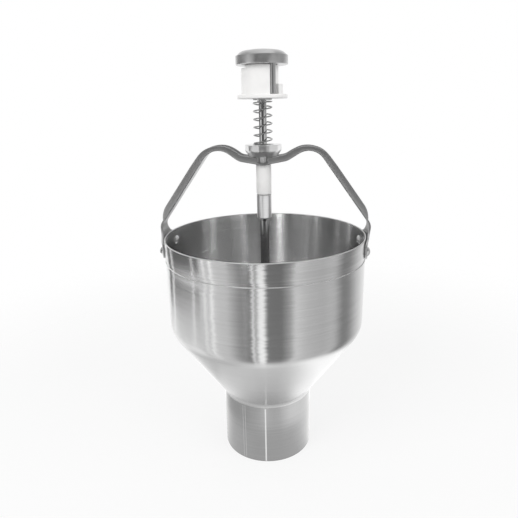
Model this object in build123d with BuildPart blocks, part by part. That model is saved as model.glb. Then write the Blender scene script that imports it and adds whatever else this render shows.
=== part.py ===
"""Hand batter dispenser: a steel hopper with a sprung plunger and a stepped portion dial.

Millimetres. +Z is up, the origin is the middle of the nozzle's mouth, the two handle arms lie in
the XZ plane and the front is at -Y.
"""
import os
from math import asin, atan2, ceil, cos, degrees, radians, sin, sqrt

from build123d import *

# Hopper and nozzle
nozzle_radius = 47.0
nozzle_wall = 1.2
nozzle_height = 68.0
hopper_radius = 99.5
hopper_wall = 0.9
cone_height = 76.0
wall_height = 93.0
shoulder_rounding = 22.0
rim_band_step = 0.5
rim_band_depth = 21.0
sheet_edge_rounding = 0.35

# Handle arms: the hub and knee stand above the rim, the dips and humps above the hub
strip_width = 20.0
strip_wall = 1.8
hub_rise = 68.2
dip_reach = 23.3
dip_rise = 4.2
left_hump_reach = 46.6
left_hump_rise = 20.9
right_hump_reach = 47.7
right_hump_rise = 18.7
knee_overhang = 2.4
knee_rise = 10.3
dip_rounding = 16.0
hump_rounding = 16.75
knee_rounding = 9.0
leg_lap_start = 4.5
leg_lap_end = 9.0
arm_parting = 0.3

# Upturned flanges along the arms
flange_height_hub = 6.2
flange_height_slope = 5.9
flange_height_leg = 6.75
flange_hump_rounding = 27.5
flange_dip_rounding = 9.0
flange_hub_gap = 10.0
flange_fade_length = 15.6
flange_fade_margin = 1.0

# Flared feet on the hopper's wall
foot_seat_gap = 0.05
foot_below_rim = 19.5
foot_bend_below_rim = 6.2
foot_bend_rounding = 14.0
foot_half_width = 28.0
foot_wing_below_rim = 3.0
foot_neck_above_rim = 1.5
foot_corner_rounding = 6.0
foot_neck_rounding = 11.0
rivet_below_rim = 12.5
rivet_half_angle = 12.5
rivet_shank_radius = 2.5
rivet_head_radius = 5.0
rivet_head_height = 2.8

# Hub collar and guide bush
collar_radius = 17.5
collar_rise = 8.4
collar_height = 10.8
collar_foot_inset = 4.0
collar_foot_height = 5.5
collar_edge = 0.6
spring_recess_radius = 10.4
spring_recess_depth = 3.0
spigot_radius = 7.5
bush_radius = 7.3
bush_stem_radius = 5.6
bush_drop = 28.2

# Return spring
spring_length = 43.0
spring_outer_radius = 9.25
spring_wire = 1.3
spring_turns = 6.85
spring_end_turns = 0.75
spring_end_gap = 0.6
spring_end_clearance = 0.1
spring_start_angle = 180.0

# Plunger
upper_tube_radius = 3.7
upper_tube_bore = 2.6
lower_tube_radius = 4.4
lower_tube_bore = 3.2
sleeve_radius = 7.2
sleeve_length = 24.0
sleeve_chamfer = 1.2
seat_radius = 9.0
seat_thickness = 1.3

# Size dial
dial_flange_radius = 23.4
dial_flange_thickness = 3.4
dial_core_radius = 15.0
dial_stair_radius = 19.1
dial_first_step = 9.0
dial_next_step = 7.0
dial_tread_count = 3
dial_wall_lip = 2.1
dial_core_drop = 0.4
dial_wall_start = 315.0
dial_pocket_radius = 9.5
dial_pocket_depth = 9.8

# Piston
piston_rise = 4.0
piston_clearance = 0.5
piston_thickness = 6.0
piston_hub_radius = 9.0
piston_hub_height = 8.0
seal_width = 2.8
seal_depth = 2.0
seal_clearance = 0.3
tube_nut_size = 13.0
tube_nut_height = 5.0

# Centre rod, forming disc and their nuts
rod_radius = 2.2
rod_bush_length = 8.0
rod_bush_wall = 0.75
disc_height = 7.0
disc_clearance = 1.8
disc_edge = 2.0
disc_crown = 5.0
disc_land_radius = 7.0
rod_nut_size = 8.0
rod_nut_height = 3.6
dome_nut_height = 6.0

# Palm cap and stop pin
cap_radius = 23.9
cap_rim_height = 8.0
cap_rim_edge = 0.9
cap_dome_radius = 22.8
cap_dome_height = 5.4
cap_crown_reach = 17.0
cap_crown_drop = 1.5
cap_rod_depth = 8.0
pin_radius = 2.65
pin_azimuth = 35.9
pin_tenon_radius = 1.8
pin_tenon_length = 3.5
pin_wall_angle = 1.5
pin_riser_angle = 10.7

# Clearances
fixed_gap = 0.03
running_gap = 0.06
rest_gap = 0.2
free_gap = 0.4

# Sizes and heights that follow
front_angle = -90.0
nozzle_bore = nozzle_radius - nozzle_wall
shoulder_height = nozzle_height + cone_height
rim_height = shoulder_height + wall_height
rim_band_radius = hopper_radius + rim_band_step
hub_height = rim_height + hub_rise
dip_height = hub_height + dip_rise
knee_height = rim_height + knee_rise
knee_reach = rim_band_radius + knee_overhang
collar_base = hub_height + collar_rise
collar_top = collar_base + collar_height
recess_floor = collar_top - spring_recess_depth
seat_base = recess_floor + spring_length
dial_base = seat_base + seat_thickness
tread_base = dial_base + dial_flange_thickness
dial_wall_height = dial_first_step + (dial_tread_count - 1) * dial_next_step + dial_wall_lip
core_top = tread_base + dial_wall_height - dial_core_drop
pocket_floor = core_top - dial_pocket_depth
cap_base = tread_base + dial_wall_height + free_gap
cap_shoulder = cap_base + cap_rim_height
cap_top = cap_shoulder + cap_dome_height
bush_base = hub_height - bush_drop
sleeve_top = bush_base - rest_gap
sleeve_base = sleeve_top - sleeve_length
tube_joint = sleeve_top - sleeve_length / 2
upper_tube_top = pocket_floor + tube_nut_height + free_gap
piston_height = nozzle_height + piston_rise
piston_top = piston_height + piston_thickness
piston_hub_top = piston_top + piston_hub_height
lower_tube_base = piston_height - tube_nut_height - free_gap
rivet_height = rim_height - rivet_below_rim
pin_reach = dial_core_radius + free_gap + pin_radius
pin_angle = radians(pin_azimuth + front_angle)
pin_half_angle = degrees(asin(pin_radius / pin_reach))
pin_place = (pin_reach * cos(pin_angle), pin_reach * sin(pin_angle))

os.makedirs("parts", exist_ok=True)


def save(piece, name):
    """Label a finished piece and write it under its own name."""
    piece.label = name
    export_step(piece, f"parts/{name}.step")


def beside(points, distances):
    """Corners of the line that runs on the left of points, each stretch at its own distance."""
    corners = [Vector(*point) for point in points]
    ways = [(b - a).normalized() for a, b in zip(corners, corners[1:])]
    normals = [Vector(-way.Y, way.X) for way in ways]
    starts = [a + normal * d for a, normal, d in zip(corners, normals, distances)]
    moved = [starts[0]]
    for a, b, way, following in zip(starts, starts[1:], ways, ways[1:]):
        gap = b - a
        turn = way.X * following.Y - way.Y * following.X
        moved.append(a + way * ((gap.X * following.Y - gap.Y * following.X) / turn))
    moved.append(corners[-1] + normals[-1] * distances[-1])
    return moved


def toward(start, end, distance):
    """The point at a distance from start on the way to end."""
    return start + (end - start).normalized() * distance


def revolved(corners):
    """A solid turned about the Z axis from its corners, given as radius and height."""
    with BuildPart() as turned:
        with BuildSketch(Plane.XZ):
            with BuildLine():
                Polyline(*corners, close=True)
            make_face()
        revolve(axis=Axis.Z)
    return turned.part


def hex_nut(size, base, height, hole):
    """A plain hexagon nut on the Z axis."""
    with BuildPart() as nut:
        with BuildSketch(Plane.XY.offset(base)):
            RegularPolygon(size / 2, 6, major_radius=False)
            Circle(hole, mode=Mode.SUBTRACT)
        extrude(amount=height)
    return nut.part


def ring(outer, inner, base, top):
    """A plain round tube on the Z axis."""
    with BuildPart() as tube:
        with BuildSketch(Plane.XY.offset(base)):
            Circle(outer)
            Circle(inner, mode=Mode.SUBTRACT)
        extrude(amount=top - base)
    return tube.part


def radial_plane(angle):
    """The plane at rivet height whose normal points outwards at an angle from +X."""
    way = (cos(radians(angle)), sin(radians(angle)), 0)
    return Plane(origin=(0, 0, rivet_height), x_dir=(0, 0, 1), z_dir=way)


rivet_angles_right = (-rivet_half_angle, rivet_half_angle)
rivet_angles_left = tuple(180 - angle for angle in rivet_angles_right)

# Hopper bowl: a straight wall, a rounded shoulder and a cone of even wall
cone_angle = atan2(shoulder_height - nozzle_height, hopper_radius - nozzle_radius)
bowl_outside = [
    (nozzle_radius, nozzle_height),
    (hopper_radius, shoulder_height),
    (hopper_radius, rim_height),
]
bowl_inside = beside(bowl_outside, (hopper_wall, hopper_wall))
bowl_inside[0] = Vector(nozzle_radius - hopper_wall / sin(cone_angle), nozzle_height)

with BuildPart() as hopper_bowl:
    with BuildSketch(Plane.XZ):
        with BuildLine():
            outer_side = FilletPolyline(*bowl_outside, radius=shoulder_rounding)
            inner_side = FilletPolyline(*bowl_inside, radius=shoulder_rounding - hopper_wall)
            Line(outer_side @ 0, inner_side @ 0)
            Line(outer_side @ 1, inner_side @ 1)
        make_face()
    revolve(axis=Axis.Z)
    with BuildSketch(Plane.XY.offset(rim_height - rim_band_depth)):
        Circle(rim_band_radius)
        Circle(hopper_radius - hopper_wall / 2, mode=Mode.SUBTRACT)
    extrude(amount=rim_band_depth)
    rim_edges = hopper_bowl.edges().filter_by(GeomType.CIRCLE).group_by(Axis.Z)[-1]
    fillet(rim_edges, sheet_edge_rounding)
    for angle in rivet_angles_right + rivet_angles_left:
        with BuildSketch(radial_plane(angle)):
            Circle(rivet_shank_radius + fixed_gap)
        extrude(amount=rim_band_radius + hopper_wall, mode=Mode.SUBTRACT)
save(hopper_bowl.part, "hopper_bowl")

with BuildPart() as nozzle_tube:
    add(ring(nozzle_radius, nozzle_bore, 0, nozzle_height))
    mouth_edges = nozzle_tube.edges().filter_by(GeomType.CIRCLE).group_by(Axis.Z)[0]
    fillet(mouth_edges, sheet_edge_rounding)
save(nozzle_tube.part, "nozzle_tube")

# Handle arms: a pressed strip with upturned flanges that fade out above the flared foot
foot_radius = rim_band_radius + foot_seat_gap
foot_base = rim_height - foot_below_rim
foot_bend = (foot_radius, rim_height - foot_bend_below_rim)
foot_crown = strip_width**2 / (8 * foot_radius)
knee = Vector(knee_reach, knee_height)
flange_heights = (flange_height_hub, flange_height_slope, flange_height_leg)


def arm_foot(hump):
    """The flared foot, turned about the hopper's axis and cut to its outline, with the knee above it."""
    corners = [(foot_radius, foot_base), foot_bend, knee, toward(knee, hump, leg_lap_end)]
    outer_corners = beside(corners, [-strip_wall] * 3)
    outer_roundings = [foot_bend_rounding - strip_wall, knee_rounding + strip_wall]
    half_outline = [
        (foot_half_width, foot_base),
        (foot_half_width, rim_height - foot_wing_below_rim),
        (strip_width / 2, rim_height + foot_neck_above_rim),
        (strip_width / 2, knee_height + leg_lap_end + strip_wall),
    ]
    other_half = [(-across, height) for across, height in reversed(half_outline)]
    half_roundings = [foot_corner_rounding, foot_corner_rounding, foot_neck_rounding, 0]
    outline_roundings = half_roundings + half_roundings[::-1]
    with BuildPart() as foot:
        with BuildSketch(Plane.XZ):
            with BuildLine():
                inner_side = FilletPolyline(*corners, radius=[foot_bend_rounding, knee_rounding])
                outer_side = FilletPolyline(*outer_corners, radius=outer_roundings)
                Line(inner_side @ 0, outer_side @ 0)
                Line(inner_side @ 1, outer_side @ 1)
            make_face()
        revolve(axis=Axis.Z)
        with BuildSketch(Plane.YZ):
            with BuildLine():
                FilletPolyline(*half_outline, *other_half, radius=outline_roundings, close=True)
            make_face()
        extrude(amount=knee_reach + rim_band_radius, mode=Mode.INTERSECT)
    return foot.part


def handle_arm(hump_reach, hump_rise):
    """An arm on the +X side, whose hump stands at a reach from the axis and a rise above the hub."""
    hump = Vector(hump_reach, hub_height + hump_rise)
    leg_foot = knee - Vector(foot_crown / 2, 0)
    leg_end = toward(leg_foot, hump, leg_lap_start)
    leg_way = (leg_end - hump).normalized()
    strip_corners = [(0, hub_height), (dip_reach, dip_height), hump, leg_end]
    strip_top = beside(strip_corners, [strip_wall] * 3)
    strip_roundings = [dip_rounding, hump_rounding]
    top_roundings = [dip_rounding - strip_wall, hump_rounding + strip_wall]
    flange_corners = beside(strip_corners, flange_heights)
    flange_roundings = [flange_dip_rounding, flange_hump_rounding]
    fade_start = toward(flange_corners[3], flange_corners[2], flange_fade_length)
    fade_end = toward(strip_top[3], strip_top[2], flange_fade_margin)
    fade_foot = toward(leg_end, hump, flange_fade_margin)
    with BuildPart() as arm:
        with BuildSketch(Plane.XZ.offset(strip_width / 2 - strip_wall)):
            with BuildLine():
                under = FilletPolyline(*strip_corners[:3], fade_foot, radius=strip_roundings)
                over = FilletPolyline(*flange_corners[:3], fade_start, radius=flange_roundings)
                TangentArc(fade_start, fade_end, tangent=leg_way)
                Line(fade_end, fade_foot)
                Line(under @ 0, over @ 0)
            make_face()
        extrude(amount=strip_wall)
        mirror(about=Plane.XZ)
        with BuildSketch(Plane.XY.offset(hub_height)):
            Rectangle(flange_hub_gap, strip_width + strip_wall)
        extrude(amount=flange_height_hub * 2, mode=Mode.SUBTRACT)
        with BuildSketch(Plane.XZ):
            with BuildLine():
                under = FilletPolyline(*strip_corners, radius=strip_roundings)
                over = FilletPolyline(*strip_top, radius=top_roundings)
                Line(under @ 0, over @ 0)
                Line(under @ 1, over @ 1)
            make_face()
        extrude(amount=strip_width / 2, both=True)
        add(arm_foot(hump))
        for angle in rivet_angles_right:
            with BuildSketch(radial_plane(angle)):
                Circle(rivet_shank_radius + fixed_gap)
            extrude(amount=rim_band_radius + strip_wall * 2, mode=Mode.SUBTRACT)
        with BuildSketch(Plane.XY.offset(hub_height - strip_wall)):
            Circle(spigot_radius + fixed_gap)
            with Locations((arm_parting / 2, 0)):
                Rectangle(strip_width, strip_width * 2, align=(Align.MAX, Align.CENTER))
        extrude(amount=collar_rise + strip_wall, mode=Mode.SUBTRACT)
    return arm.part


save(handle_arm(right_hump_reach, right_hump_rise), "handle_arm_right")

with BuildPart() as handle_arm_left:
    mirror(handle_arm(left_hump_reach, left_hump_rise), about=Plane.YZ)
save(handle_arm_left.part, "handle_arm_left")

# Foot rivets: domed heads on the strip outside and on the wall inside
outer_seat = rim_band_radius + foot_seat_gap + strip_wall
bowl_bore = hopper_radius - hopper_wall
inner_seat = sqrt(bowl_bore**2 - rivet_head_radius**2) - fixed_gap


def rivets(angles):
    """A group of rivets on radial axes."""
    with BuildPart() as group:
        for angle in angles:
            way = Vector(cos(radians(angle)), sin(radians(angle)), 0)
            plane = Plane(origin=(0, 0, rivet_height), x_dir=way, z_dir=(-way.Y, way.X, 0))
            with BuildSketch(plane):
                with BuildLine():
                    Line((inner_seat - rivet_head_height, 0), (outer_seat + rivet_head_height, 0))
                    TangentArc(
                        (outer_seat + rivet_head_height, 0),
                        (outer_seat, rivet_head_radius),
                        tangent=(0, 1),
                    )
                    Polyline(
                        (outer_seat, rivet_head_radius),
                        (outer_seat, rivet_shank_radius),
                        (inner_seat, rivet_shank_radius),
                        (inner_seat, rivet_head_radius),
                    )
                    TangentArc(
                        (inner_seat - rivet_head_height, 0),
                        (inner_seat, rivet_head_radius),
                        tangent=(0, 1),
                    )
                make_face()
            revolve(axis=Axis((0, 0, rivet_height), way))
    return group.part


save(rivets(rivet_angles_right), "foot_rivets_right")
save(rivets(rivet_angles_left), "foot_rivets_left")

# Hub collar: a spring cup with a spigot that the arms are welded to
with BuildPart() as hub_collar:
    stem_hole = bush_stem_radius + fixed_gap
    add(
        revolved(
            [
                (stem_hole, hub_height),
                (spigot_radius, hub_height),
                (spigot_radius, collar_base),
                (collar_radius - collar_foot_inset, collar_base),
                (collar_radius, collar_base + collar_foot_height),
                (collar_radius, collar_top),
                (spring_recess_radius, collar_top),
                (spring_recess_radius, recess_floor),
                (stem_hole, recess_floor),
            ]
        )
    )
    top_edges = hub_collar.edges().filter_by(GeomType.CIRCLE).group_by(Axis.Z)[-1]
    chamfer(top_edges, collar_edge)
save(hub_collar.part, "hub_collar")

bush_bore = upper_tube_radius + running_gap
bush_shoulder = hub_height - fixed_gap
guide_bush = revolved(
    [
        (bush_bore, bush_base),
        (bush_radius, bush_base),
        (bush_radius, bush_shoulder),
        (bush_stem_radius, bush_shoulder),
        (bush_stem_radius, recess_floor - fixed_gap),
        (bush_bore, recess_floor - fixed_gap),
    ]
)
save(guide_bush, "guide_bush")

# Return spring: one wire, wound right-handed, with a closer turn at each end
coil_radius = spring_outer_radius - spring_wire / 2
coil_base = recess_floor + spring_wire / 2 + spring_end_clearance
coil_rise = spring_length - spring_wire - 2 * spring_end_clearance
end_pitch = spring_wire + spring_end_gap
end_rise = end_pitch * spring_end_turns
open_turns = spring_turns - 2 * spring_end_turns
open_pitch = (coil_rise - 2 * end_rise) / open_turns


def coil_height(turn):
    """Height of the wire's middle above the spring's foot after a number of turns."""
    lower = min(turn, spring_end_turns) * end_pitch
    middle = min(max(turn - spring_end_turns, 0), open_turns) * open_pitch
    upper = max(turn - spring_end_turns - open_turns, 0) * end_pitch
    return lower + middle + upper


def coil_point(turn):
    """A point on the wire's middle line."""
    angle = radians(360 * turn + spring_start_angle)
    return Vector(coil_radius * cos(angle), coil_radius * sin(angle), coil_base + coil_height(turn))


def coil_tangent(turn):
    """The wire's direction, with the change of pitch eased over a short stretch."""
    ease = 0.05
    low = max(turn - ease, 0)
    high = min(turn + ease, spring_turns)
    climb = (coil_height(high) - coil_height(low)) / radians(360 * (high - low))
    angle = radians(360 * turn + spring_start_angle)
    return Vector(-coil_radius * sin(angle), coil_radius * cos(angle), climb).normalized()


quarter_count = ceil(spring_turns * 4)
coil_stations = [spring_turns * k / quarter_count for k in range(quarter_count + 1)]

with BuildPart() as return_spring:
    with BuildLine() as coil_line:
        first, first_way = coil_point(0), coil_tangent(0)
        Line(first - first_way * spring_wire, first)
        for low, high in zip(coil_stations, coil_stations[1:]):
            start, start_way = coil_point(low), coil_tangent(low)
            end, end_way = coil_point(high), coil_tangent(high)
            span, both = end - start, start_way + end_way
            bend = 2 * (1 - start_way.dot(end_way))
            reach = (sqrt(span.dot(both) ** 2 + bend * span.dot(span)) - span.dot(both)) / bend
            first_knee = start + start_way * reach
            second_knee = end - end_way * reach
            middle = (first_knee + second_knee) / 2
            TangentArc(start, middle, tangent=start_way)
            TangentArc(middle, end, tangent=second_knee - first_knee)
        last, last_way = coil_point(spring_turns), coil_tangent(spring_turns)
        Line(last, last + last_way * spring_wire)
    with BuildSketch(Plane(origin=first - first_way * spring_wire, z_dir=first_way)):
        Circle(spring_wire / 2)
    sweep(path=coil_line.wires()[0])
save(return_spring.part, "return_spring")

coil_samples = [(turn, coil_point(turn)) for turn in (spring_turns * k / 400 for k in range(401))]
least_gap = min(
    (p - q).length - spring_wire
    for i, (turn, p) in enumerate(coil_samples)
    for other, q in coil_samples[i + 1 :]
    if other - turn > 0.5
)
print(f"return_spring least gap to itself {least_gap:.2f} mm")

# Plunger tubes, joined by the coupling sleeve under the guide bush
with BuildPart() as plunger_tube_upper:
    add(ring(upper_tube_radius, upper_tube_bore, tube_joint, upper_tube_top))
    with BuildSketch(Plane.XY.offset(upper_tube_top - rod_bush_length)):
        Circle(rod_radius + running_gap + rod_bush_wall)
    extrude(amount=rod_bush_length, mode=Mode.SUBTRACT)
save(plunger_tube_upper.part, "plunger_tube_upper")

plunger_tube_lower = ring(lower_tube_radius, lower_tube_bore, lower_tube_base, tube_joint)
save(plunger_tube_lower, "plunger_tube_lower")

with BuildPart() as coupling_sleeve:
    add(ring(sleeve_radius, upper_tube_radius + fixed_gap, sleeve_base, sleeve_top))
    with BuildSketch(Plane.XY.offset(sleeve_base)):
        Circle(lower_tube_radius + fixed_gap)
    extrude(amount=tube_joint - sleeve_base, mode=Mode.SUBTRACT)
    foot_edge = coupling_sleeve.edges().filter_by(GeomType.CIRCLE).group_by(Axis.Z)[0]
    chamfer(foot_edge.sort_by(SortBy.RADIUS)[-1], sleeve_chamfer)
save(coupling_sleeve.part, "coupling_sleeve")

rod_hole = rod_radius + running_gap
rod_bush_upper = ring(
    rod_hole + rod_bush_wall - fixed_gap, rod_hole, upper_tube_top - rod_bush_length, upper_tube_top
)
save(rod_bush_upper, "rod_bush_upper")

rod_bush_lower = ring(
    lower_tube_bore - fixed_gap, rod_hole, lower_tube_base, lower_tube_base + rod_bush_length
)
save(rod_bush_lower, "rod_bush_lower")

spring_seat = ring(seat_radius, upper_tube_radius + fixed_gap, seat_base, dial_base)
save(spring_seat, "spring_seat")


# Size dial: a flange, a core and a stair of treads that ends at a full-height wall
def stair_step(start, end, height):
    """A sector of the stair, between two azimuths counted from the front towards +X."""
    inner = dial_core_radius - dial_flange_thickness
    with BuildPart() as step:
        with BuildSketch(Plane.XY.offset(dial_base)):
            with BuildLine():
                outside = CenterArc((0, 0), dial_stair_radius, start + front_angle, end - start)
                inside = CenterArc((0, 0), inner, start + front_angle, end - start)
                Line(outside @ 0, inside @ 0)
                Line(outside @ 1, inside @ 1)
            make_face()
        extrude(amount=dial_flange_thickness + height)
    return step.part


stair_start = pin_azimuth + pin_half_angle + pin_riser_angle
tread_width = (dial_wall_start - stair_start) / dial_tread_count
dial_wall_end = 360 + pin_azimuth - pin_half_angle - pin_wall_angle

with BuildPart() as size_dial:
    with BuildSketch(Plane.XY.offset(dial_base)):
        Circle(dial_flange_radius)
    extrude(amount=dial_flange_thickness)
    with BuildSketch(Plane.XY.offset(dial_base)):
        Circle(dial_core_radius)
    extrude(amount=core_top - dial_base)
    for k in range(dial_tread_count):
        tread_from = stair_start + k * tread_width
        add(stair_step(tread_from, tread_from + tread_width, dial_first_step + k * dial_next_step))
    add(stair_step(dial_wall_start, dial_wall_end, dial_wall_height))
    with BuildSketch(Plane.XY.offset(pocket_floor)):
        Circle(dial_pocket_radius)
    extrude(amount=dial_wall_height, mode=Mode.SUBTRACT)
    with BuildSketch(Plane.XY.offset(dial_base)):
        Circle(upper_tube_radius + fixed_gap)
    extrude(amount=core_top - dial_base, mode=Mode.SUBTRACT)
save(size_dial.part, "size_dial")

dial_lock_nut = hex_nut(tube_nut_size, pocket_floor, tube_nut_height, upper_tube_radius + fixed_gap)
save(dial_lock_nut, "dial_lock_nut")

# Piston: a plate with a hub and a seal ring, held between two nuts
piston_radius = nozzle_bore - piston_clearance
seal_radius = nozzle_bore - seal_clearance
seal_base = piston_height + (piston_thickness - seal_width) / 2
groove_radius = piston_radius - seal_depth
tube_hole = lower_tube_radius + fixed_gap

with BuildPart() as piston:
    add(
        revolved(
            [
                (tube_hole, piston_height),
                (piston_radius, piston_height),
                (piston_radius, seal_base),
                (groove_radius, seal_base),
                (groove_radius, seal_base + seal_width),
                (piston_radius, seal_base + seal_width),
                (piston_radius, piston_top),
                (piston_hub_radius, piston_top),
                (piston_hub_radius, piston_hub_top),
                (tube_hole, piston_hub_top),
            ]
        )
    )
save(piston.part, "piston")

piston_seal = ring(
    seal_radius, groove_radius + fixed_gap, seal_base + fixed_gap, seal_base + seal_width - fixed_gap
)
save(piston_seal, "piston_seal")
save(hex_nut(tube_nut_size, piston_hub_top, tube_nut_height, tube_hole), "piston_nut_upper")
save(
    hex_nut(tube_nut_size, piston_height - tube_nut_height, tube_nut_height, tube_hole),
    "piston_nut_lower",
)

# Centre rod with the forming disc at the nozzle's mouth
disc_radius = nozzle_bore - disc_clearance
disc_top = disc_height + disc_crown
rod_fit = rod_radius + fixed_gap
rod_top = cap_base + cap_rod_depth - free_gap

with BuildPart() as centre_rod:
    with BuildSketch(Plane.XY.offset(disc_height - dome_nut_height / 2)):
        Circle(rod_radius)
    extrude(amount=rod_top - disc_height + dome_nut_height / 2)
save(centre_rod.part, "centre_rod")

with BuildPart() as forming_disc:
    with BuildSketch(Plane.XZ):
        with BuildLine():
            Polyline(
                (disc_land_radius, disc_top),
                (rod_fit, disc_top),
                (rod_fit, disc_height),
                (disc_radius, disc_height),
                (disc_radius, disc_height + disc_edge),
            )
            TangentArc(
                (disc_land_radius, disc_top), (disc_radius, disc_height + disc_edge), tangent=(1, 0)
            )
        make_face()
    revolve(axis=Axis.Z)
save(forming_disc.part, "forming_disc")

save(hex_nut(rod_nut_size, disc_top, rod_nut_height, rod_fit), "disc_jam_nut")
save(hex_nut(rod_nut_size, cap_base - free_gap - rod_nut_height, rod_nut_height, rod_fit), "cap_jam_nut")

with BuildPart() as disc_dome_nut:
    dome_base = disc_height - dome_nut_height / 2
    with BuildSketch(Plane.XY.offset(dome_base)):
        RegularPolygon(rod_nut_size / 2, 6, major_radius=False)
    extrude(amount=dome_nut_height / 2)
    with BuildSketch(Plane.XZ):
        with BuildLine():
            dome_foot = (0, disc_height - dome_nut_height)
            dome_edge = (rod_nut_size / 2, dome_base)
            TangentArc(dome_foot, dome_edge, tangent=(1, 0))
            Polyline(dome_edge, (0, dome_base), dome_foot)
        make_face()
    revolve(axis=Axis.Z)
    with BuildSketch(Plane.XY.offset(dome_base)):
        Circle(rod_fit)
    extrude(amount=dome_nut_height, mode=Mode.SUBTRACT)
save(disc_dome_nut.part, "disc_dome_nut")

# Palm cap, which turns on the rod, and the pin that stands on the dial's tread
with BuildPart() as palm_cap:
    with BuildSketch(Plane.XZ):
        with BuildLine():
            Polyline(
                (0, cap_top),
                (0, cap_base + cap_rod_depth),
                (rod_hole, cap_base + cap_rod_depth),
                (rod_hole, cap_base),
                (cap_radius - cap_rim_edge, cap_base),
                (cap_radius, cap_base + cap_rim_edge),
                (cap_radius, cap_shoulder),
                (cap_dome_radius, cap_shoulder),
            )
            crown_end = (cap_crown_reach, cap_top - cap_crown_drop)
            crown = TangentArc((0, cap_top), crown_end, tangent=(1, 0))
            TangentArc(crown_end, (cap_dome_radius, cap_shoulder), tangent=crown % 1)
        make_face()
    revolve(axis=Axis.Z)
    with BuildSketch(Plane.XY.offset(cap_base)):
        with Locations(pin_place):
            Circle(pin_tenon_radius + fixed_gap)
    extrude(amount=pin_tenon_length + fixed_gap, mode=Mode.SUBTRACT)
save(palm_cap.part, "palm_cap")

with BuildPart() as stop_pin:
    pin_foot = tread_base + rest_gap
    with BuildSketch(Plane.XY.offset(pin_foot)):
        with Locations(pin_place):
            Circle(pin_radius)
    extrude(amount=cap_base - pin_foot)
    with BuildSketch(Plane.XY.offset(cap_base)):
        with Locations(pin_place):
            Circle(pin_tenon_radius)
    extrude(amount=pin_tenon_length)
save(stop_pin.part, "stop_pin")

print(f"overall height {cap_top:.1f} mm, reach {outer_seat + rivet_head_height:.1f} mm")
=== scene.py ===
"""Hand batter dispenser: finished meshes, metals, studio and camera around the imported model.

Metres in the model's own frame: +Z is up, the origin is the middle of the nozzle's mouth, the two
handle arms lie in the XZ plane and the front is at -Y.
"""
from math import asin, ceil, cos, pi, radians, sin, sqrt, tan

import bmesh
import bpy
from mathutils import Matrix, Vector, noise


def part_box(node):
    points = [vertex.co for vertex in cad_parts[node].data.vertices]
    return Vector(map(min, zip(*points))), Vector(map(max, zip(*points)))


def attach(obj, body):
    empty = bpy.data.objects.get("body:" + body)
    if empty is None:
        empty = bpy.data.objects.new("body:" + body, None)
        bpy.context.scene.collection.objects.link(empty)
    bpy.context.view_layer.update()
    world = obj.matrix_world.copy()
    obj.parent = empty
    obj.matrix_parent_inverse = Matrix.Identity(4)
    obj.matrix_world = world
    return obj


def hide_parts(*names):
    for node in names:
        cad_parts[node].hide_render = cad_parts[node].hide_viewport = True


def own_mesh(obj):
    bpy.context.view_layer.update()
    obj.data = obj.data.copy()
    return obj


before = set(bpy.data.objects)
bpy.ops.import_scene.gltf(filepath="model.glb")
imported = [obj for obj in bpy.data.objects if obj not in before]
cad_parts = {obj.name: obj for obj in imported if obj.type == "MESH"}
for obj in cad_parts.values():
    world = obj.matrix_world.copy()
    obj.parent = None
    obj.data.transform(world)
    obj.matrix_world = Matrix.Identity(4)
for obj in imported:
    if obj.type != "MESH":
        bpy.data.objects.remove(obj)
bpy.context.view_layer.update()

MM = 0.001
SHARP_EDGE = radians(40)


def low(node):
    """The lowest corner of a CAD node."""
    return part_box(node)[0]


def high(node):
    """The highest corner of a CAD node."""
    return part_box(node)[1]


def extent(node):
    """The base, top and radius of a CAD node that stands on the Z axis."""
    return low(node).z, high(node).z, high(node).x


# Hopper and nozzle
nozzle_radius = high("nozzle_tube").x
nozzle_height = high("nozzle_tube").z
nozzle_wall = 1.2 * MM
rim_height = high("hopper_bowl").z
band_radius = high("hopper_bowl").x
band_step = 0.5 * MM
band_base = rim_height - 21 * MM
hopper_radius = band_radius - band_step
hopper_wall = 0.9 * MM
shoulder_height = nozzle_height + 76 * MM
shoulder_rounding = 22 * MM
sheet_edge = 0.4 * MM
rim_rounding = 0.65 * MM
seam_drop = 0.55 * MM
seam_ledge = 0.6 * MM
seam_reach = 7 * MM
seam_edge = 0.1 * MM
seam_middle = band_base - seam_ledge / 2
wall_unevenness = 0.12 * MM
uneven_waves_round = 1.6
uneven_waves_up = 9
weld_rounding = 9 * MM
weld_drift = 1.2 * MM
weld_waves_round = 4
weld_root = 0.5 * MM
bowl_row = 6 * MM
bowl_columns = 288

# Handle arms
hub_height = low("hub_collar").z
dip = (23.3 * MM, hub_height + 4.2 * MM, 16 * MM)
left_hump = (46.6 * MM, hub_height + 20.9 * MM, 16.75 * MM)
right_hump = (47.7 * MM, hub_height + 18.7 * MM, 16.75 * MM)
knee = (band_radius + 2.4 * MM, rim_height + 10.3 * MM, 9 * MM)
foot_radius = band_radius + 0.05 * MM
foot_base = low("handle_arm_right").z
foot_bend = (foot_radius, rim_height - 6.2 * MM, 14 * MM)
foot_half_width = high("handle_arm_right").y
foot_wing = rim_height - 3 * MM
foot_neck = rim_height + 1.5 * MM
foot_corner_rounding = 6 * MM
foot_neck_rounding = 11 * MM
foot_top = knee[1] + 12 * MM
foot_curl_start = knee[1] + 8 * MM
foot_curl_end = rim_height + 3 * MM
strip_half_width = 10 * MM
strip_wall = 1.8 * MM
strip_bend = 0.4 * MM
strip_outer_bend = 1.1 * MM
strip_edge = 0.4 * MM
strip_row = 0.8 * MM
arm_parting = 0.15 * MM
flange_start = 5 * MM
flange_start_rounding = 1.5 * MM
flange_height_hub = 6.2 * MM
flange_height_slope = 5.9 * MM
flange_height_leg = 6.75 * MM
flange_hump_drop = 1.6 * MM
flange_hump_reach = 22 * MM
flange_full_rise = 3 * MM
leg_rise_share = 1 / 3
fade_start = 20.1 * MM
fade_end = 5.5 * MM
rivet_height = rim_height - 12.5 * MM
rivet_half_angle = radians(12.5)
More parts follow.
